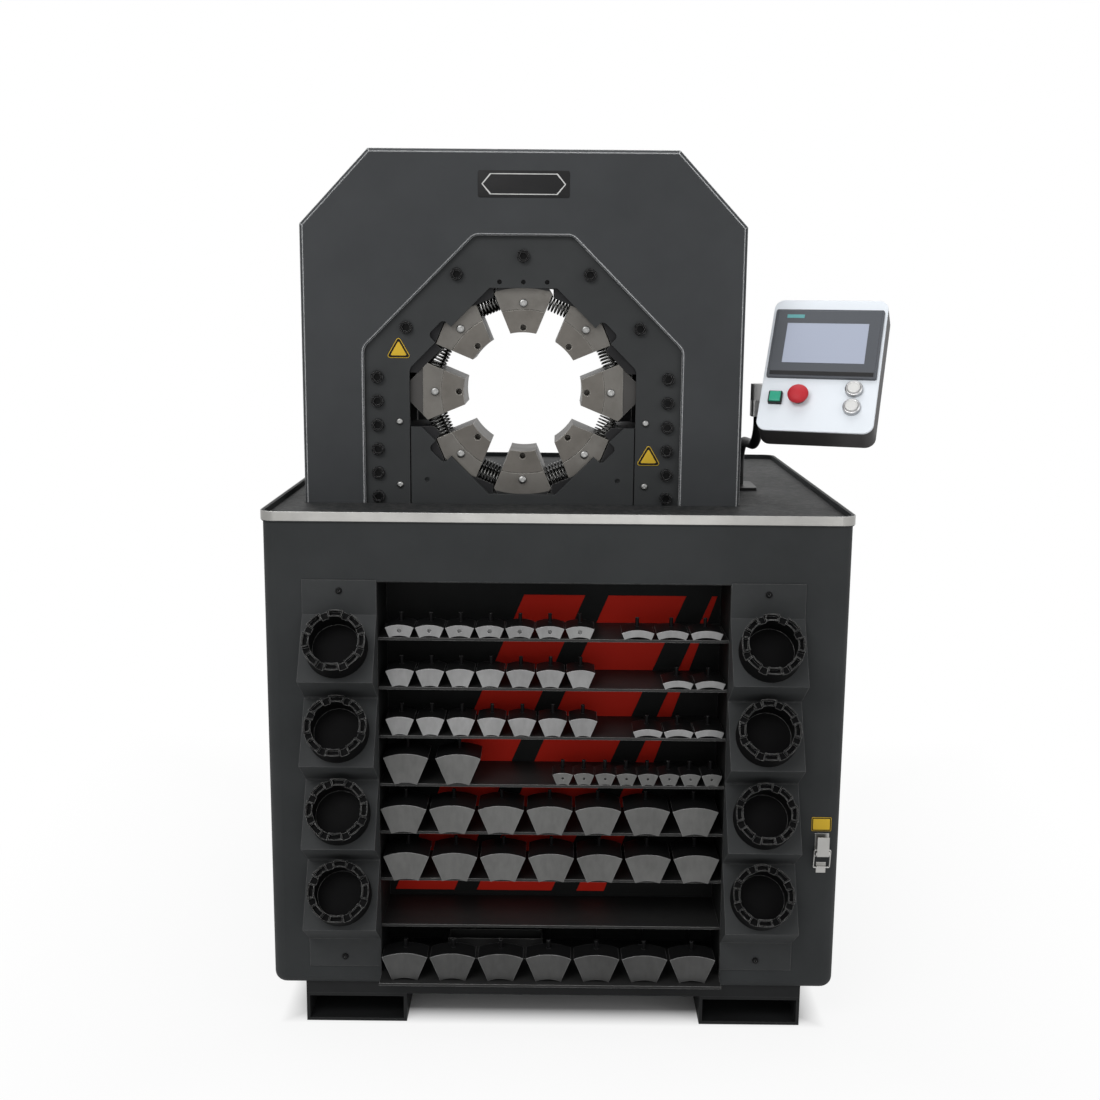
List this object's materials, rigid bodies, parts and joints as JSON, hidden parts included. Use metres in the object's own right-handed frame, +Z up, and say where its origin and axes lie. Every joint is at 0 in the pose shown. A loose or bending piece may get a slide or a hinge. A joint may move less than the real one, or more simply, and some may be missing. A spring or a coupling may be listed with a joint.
{
  "type": "hose crimping machine",
  "caption": "Floor-standing hydraulic hose crimping machine with a radial die head, a worktop tray, a die rack and a tilting operator panel.",
  "frame": {"origin": "on the floor, at the centre of the rectangle of the four anchor holes in the foot rails", "axes": "+X to the operator's right, +Y away from the operator, +Z up"},
  "size_m": [1.1912, 1.114, 1.657],
  "materials": {
    "charcoal_paint": "fine-textured matte powder coat",
    "panel_paint": "satin silver-white powder coat",
    "black_paint": "satin black",
    "yellow_paint": "bare warning-yellow plate, satin",
    "bright_zinc": "brushed bright steel",
    "satin_steel": "ground satin steel",
    "oiled_steel": "oiled hardened steel with bright edges",
    "spring_steel": "oiled spring wire",
    "chromed_steel": "hard chromed rod",
    "black_oxide": "black oxide",
    "cast_motor": "painted casting",
    "black_rubber": "fluted mat",
    "black_plastic": "moulded, matte",
    "grey_plastic": "moulded, satin",
    "red_plastic": "glossy red",
    "green_plastic": "glossy green lens",
    "white_plastic": "glossy white cap"
  },
  "bodies": {
    "frame": {"foot_rails": "charcoal_paint", "base_frame": "charcoal_paint", "cabinet_shell": "charcoal_paint", "rear_panel": "charcoal_paint", "rack_box": "black_paint", "rack_shelves": "bright_zinc", "magazine_brackets": "charcoal_paint", "die_magazines": "black_plastic", "stored_dies_upper": "satin_steel", "stored_dies_middle": "satin_steel", "stored_dies_floor": "satin_steel", "stored_die_pins": "black_oxide", "worktop_tray": "charcoal_paint", "tray_edge_band": "bright_zinc", "tray_mat": "black_rubber", "label_plates": "yellow_paint", "front_screws": "black_oxide", "hood": "charcoal_paint", "press_frame": "black_oxide", "guide_plates": "charcoal_paint", "cylinder": "black_oxide", "master_die_1": "oiled_steel", "die_insert_1": "oiled_steel", "springs_top": "spring_steel", "oil_tank": "charcoal_paint", "power_pack": "cast_motor", "latch_base": "bright_zinc", "panel_post": "black_paint", "swivel_base": "black_paint"},
    "yoke": {"lower_yoke": "black_oxide", "yoke_plates": "charcoal_paint", "ram": "chromed_steel", "master_die_5": "oiled_steel", "die_insert_5": "oiled_steel", "springs_bottom": "spring_steel"},
    "die_2": {"master_die_2": "oiled_steel", "die_insert_2": "oiled_steel"},
    "die_3": {"master_die_3": "oiled_steel", "die_insert_3": "oiled_steel", "springs_right": "spring_steel"},
    "die_4": {"master_die_4": "oiled_steel", "die_insert_4": "oiled_steel"},
    "die_6": {"master_die_6": "oiled_steel", "die_insert_6": "oiled_steel"},
    "die_7": {"master_die_7": "oiled_steel", "die_insert_7": "oiled_steel", "springs_left": "spring_steel"},
    "die_8": {"master_die_8": "oiled_steel", "die_insert_8": "oiled_steel"},
    "panel_swivel": {"swivel_arm": "black_paint"},
    "panel": {"panel_housing": "charcoal_paint", "panel_front": "panel_paint", "touch_screen": "grey_plastic", "button_collars": "grey_plastic"},
    "estop": {"estop_button": "red_plastic"},
    "green": {"green_button": "green_plastic"},
    "round_upper": {"round_button_upper": "white_plastic"},
    "round_lower": {"round_button_lower": "white_plastic"},
    "lever": {"latch_lever": "bright_zinc"},
    "bail": {"latch_bail": "bright_zinc"}
  },
  "joints": [
    {"name": "ram_slide", "type": "slide", "parent": "frame", "child": "yoke", "axis": [0, 0, 1], "range_m": [0, 0.1], "deforming": ["springs_top", "springs_right", "springs_bottom", "springs_left"]},
    {"name": "die_2_slide", "type": "slide", "parent": "frame", "child": "die_2", "axis": [-0.9239, 0, 0.3827], "range_m": [0, 0.03827]},
    {"name": "die_8_slide", "type": "slide", "parent": "frame", "child": "die_8", "axis": [0.9239, 0, 0.3827], "range_m": [0, 0.03827]},
    {"name": "die_3_slide", "type": "slide", "parent": "frame", "child": "die_3", "axis": [-0.7071, 0, 0.7071], "range_m": [0, 0.07071]},
    {"name": "die_7_slide", "type": "slide", "parent": "frame", "child": "die_7", "axis": [0.7071, 0, 0.7071], "range_m": [0, 0.07071]},
    {"name": "die_4_slide", "type": "slide", "parent": "yoke", "child": "die_4", "axis": [-0.9239, 0, -0.3827], "range_m": [0, 0.03827]},
    {"name": "die_6_slide", "type": "slide", "parent": "yoke", "child": "die_6", "axis": [0.9239, 0, -0.3827], "range_m": [0, 0.03827]},
    {"name": "panel_swivel_hinge", "type": "hinge", "parent": "frame", "child": "panel_swivel", "pos_m": [0.399, -0.203, 1.19], "axis": [0, 0, 1], "range_deg": [-8, 70]},
    {"name": "panel_tilt_hinge", "type": "hinge", "parent": "panel_swivel", "child": "panel", "pos_m": [0.46498, -0.22637, 1.206], "axis": [0.9426, -0.3338, 0], "range_deg": [-25, 30]},
    {"name": "estop_push", "type": "slide", "parent": "panel", "child": "estop", "axis": [0.2744, 0.775, -0.5693], "range_m": [0, 0.004], "stiffness_N_per_m": 2500, "springref_m": -0.003},
    {"name": "green_push", "type": "slide", "parent": "panel", "child": "green", "axis": [0.2744, 0.775, -0.5693], "range_m": [0, 0.003], "stiffness_N_per_m": 1000, "springref_m": -0.003},
    {"name": "round_upper_push", "type": "slide", "parent": "panel", "child": "round_upper", "axis": [0.2744, 0.775, -0.5693], "range_m": [0, 0.003], "stiffness_N_per_m": 1000, "springref_m": -0.003},
    {"name": "round_lower_push", "type": "slide", "parent": "panel", "child": "round_lower", "axis": [0.2744, 0.775, -0.5693], "range_m": [0, 0.003], "stiffness_N_per_m": 1000, "springref_m": -0.003},
    {"name": "latch_lever_hinge", "type": "hinge", "parent": "frame", "child": "lever", "pos_m": [0.503, -0.513, 0.364], "axis": [1, 0, 0], "range_deg": [0, 150]},
    {"name": "latch_bail_hinge", "type": "hinge", "parent": "lever", "child": "bail", "pos_m": [0.503, -0.512, 0.371], "axis": [1, 0, 0], "range_deg": [-150, 0]}
  ],
  "couplings": [
    {"joint": "die_2_slide", "follows": "ram_slide", "ratio": 0.38268},
    {"joint": "die_8_slide", "follows": "ram_slide", "ratio": 0.38268},
    {"joint": "die_4_slide", "follows": "ram_slide", "ratio": 0.38268},
    {"joint": "die_6_slide", "follows": "ram_slide", "ratio": 0.38268},
    {"joint": "die_3_slide", "follows": "ram_slide", "ratio": 0.70711},
    {"joint": "die_7_slide", "follows": "ram_slide", "ratio": 0.70711},
    {"joint": "latch_bail_hinge", "follows": "latch_lever_hinge", "ratio": -1}
  ]
}
